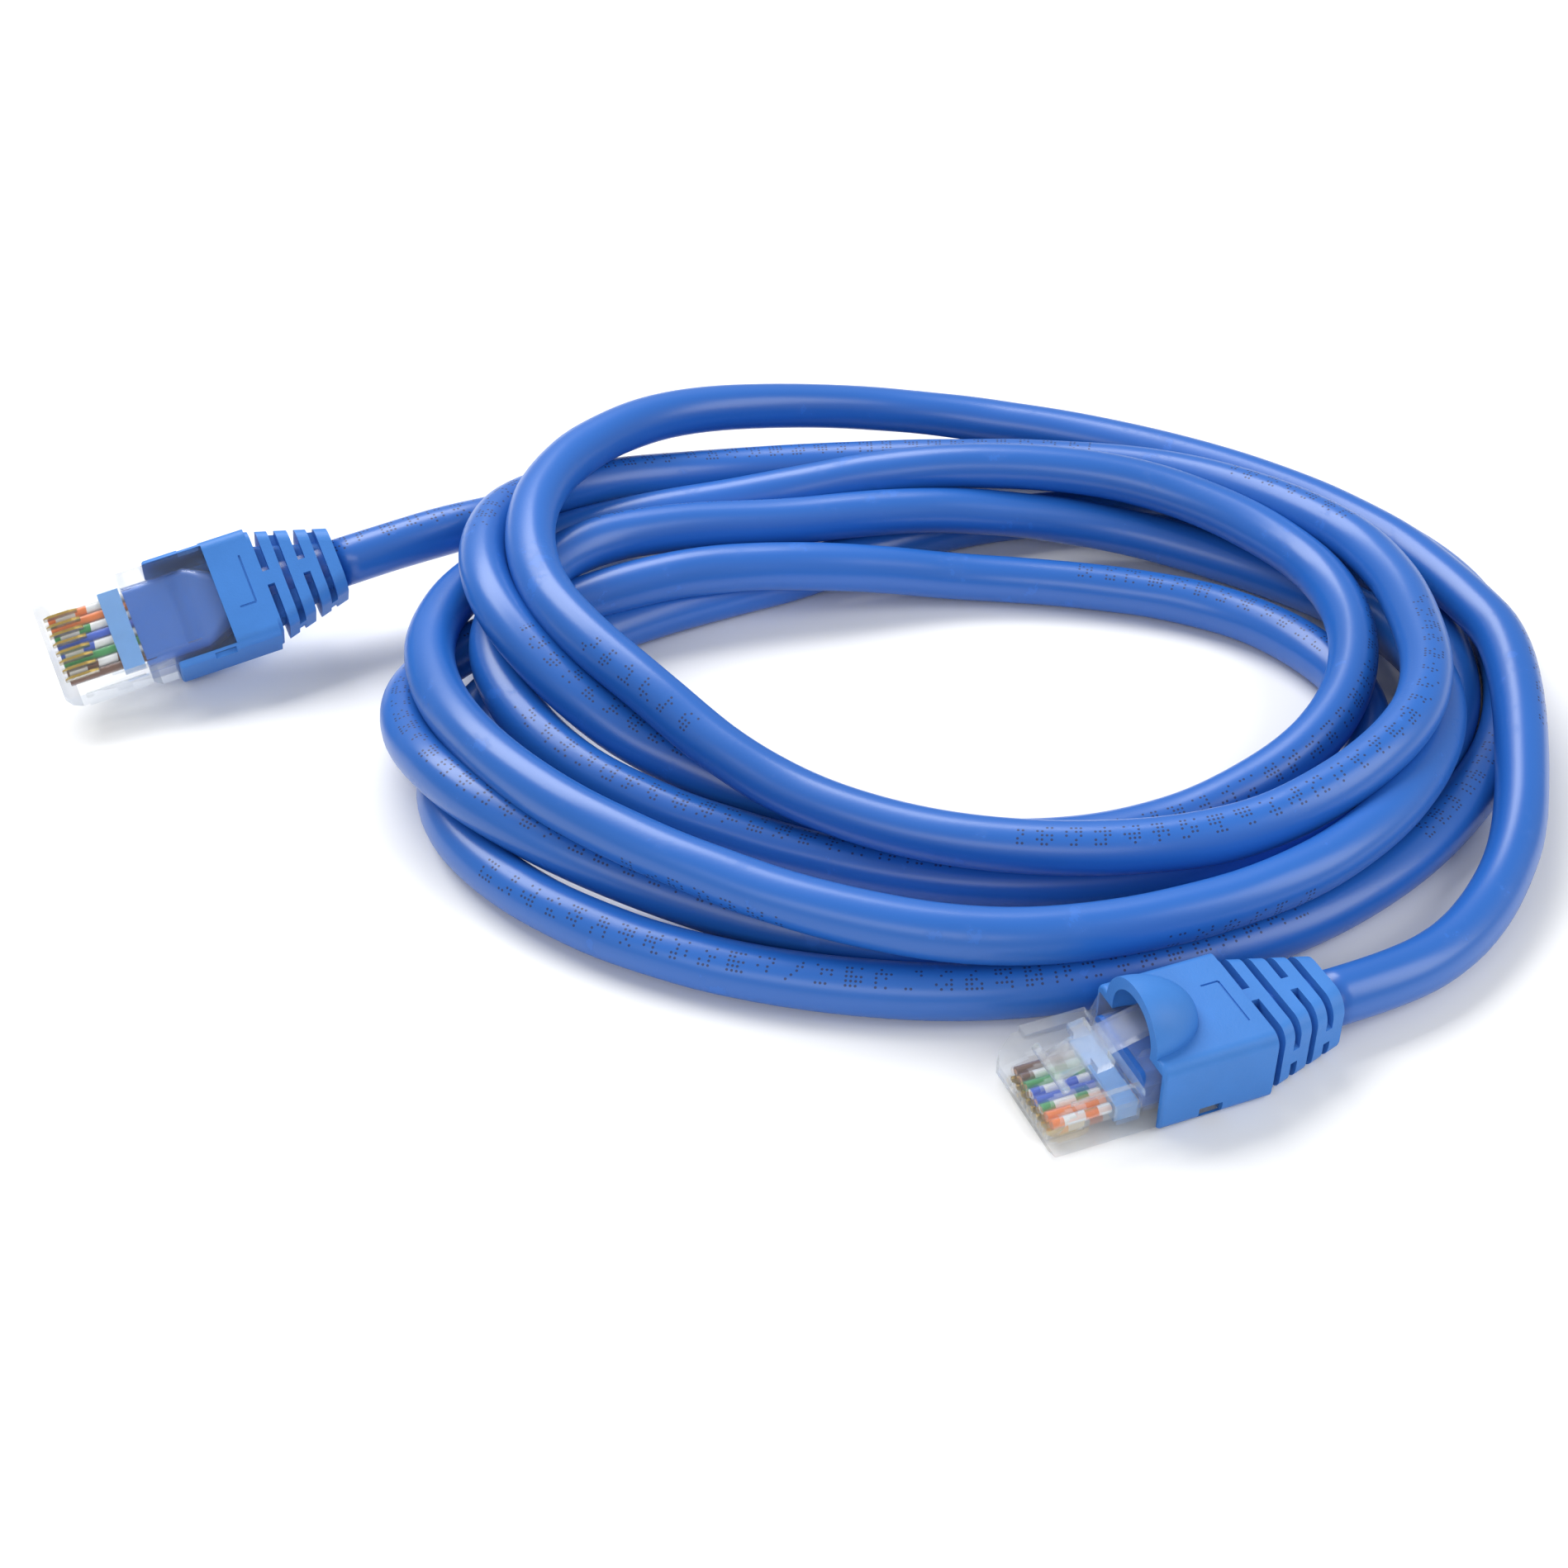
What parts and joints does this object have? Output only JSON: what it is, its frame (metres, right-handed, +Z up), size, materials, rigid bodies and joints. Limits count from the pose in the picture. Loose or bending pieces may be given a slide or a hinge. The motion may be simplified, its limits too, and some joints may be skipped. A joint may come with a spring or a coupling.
{
  "type": "ethernet patch cable",
  "caption": "Loosely coiled network patch cable with a clear modular plug, sprung latch and ribbed strain relief boot at each end.",
  "frame": {"origin": "middle of the box around the two plugs and their boots, on the surface that the cable lies on", "axes": "+Z up, +X from plug A on the left towards plug B on the right, +Y away from the side that plug B lies on"},
  "size_m": [0.1687, 0.1191, 0.0185],
  "materials": {
    "clear_plastic": "clear moulded polycarbonate",
    "gold": "gilt contact blade",
    "bar_plastic": "pale blue moulded plastic",
    "copper": "bare copper",
    "jacket": "satin extruded vinyl, blue",
    "boot": "soft moulded vinyl, blue",
    "wire_white_orange": "coloured conductor insulation",
    "wire_orange": "coloured conductor insulation",
    "wire_white_green": "coloured conductor insulation",
    "wire_blue": "coloured conductor insulation",
    "wire_white_blue": "coloured conductor insulation",
    "wire_green": "coloured conductor insulation",
    "wire_white_brown": "coloured conductor insulation",
    "wire_brown": "coloured conductor insulation"
  },
  "bodies": {
    "root": {"boot_a": "boot", "boot_b": "boot", "cable_coil": "jacket", "cable_lead_a": "jacket", "cable_lead_b": "jacket", "contacts_a": "gold", "contacts_b": "gold", "housing_a": "clear_plastic", "housing_b": "clear_plastic", "jacket_end_a": "jacket", "jacket_end_b": "jacket", "load_bar_a": "bar_plastic", "load_bar_b": "bar_plastic", "wire_blue_a": "wire_blue", "wire_blue_b": "wire_blue", "wire_brown_a": "wire_brown", "wire_brown_b": "wire_brown", "wire_cores_a": "copper", "wire_cores_b": "copper", "wire_green_a": "wire_green", "wire_green_b": "wire_green", "wire_orange_a": "wire_orange", "wire_orange_b": "wire_orange", "wire_white_blue_a": "wire_white_blue", "wire_white_blue_b": "wire_white_blue", "wire_white_brown_a": "wire_white_brown", "wire_white_brown_b": "wire_white_brown", "wire_white_green_a": "wire_white_green", "wire_white_green_b": "wire_white_green", "wire_white_orange_a": "wire_white_orange", "wire_white_orange_b": "wire_white_orange"},
    "latch_lever_a": {"latch_a": "clear_plastic"},
    "latch_lever_b": {"latch_b": "clear_plastic"}
  },
  "joints": [
    {"name": "latch_flex_a", "type": "hinge", "parent": "root", "child": "latch_lever_a", "pos_m": [-0.06265, 0.02759, 0.00527], "axis": [0.3781, -0.6702, -0.6387], "range_deg": [-2, 9], "stiffness_Nm_per_rad": 0.13},
    {"name": "latch_flex_b", "type": "hinge", "parent": "root", "child": "latch_lever_b", "pos_m": [0.03899, -0.03651, 0.0053], "axis": [-0.3746, 0.9272, 0], "range_deg": [-2, 9], "stiffness_Nm_per_rad": 0.13}
  ]
}
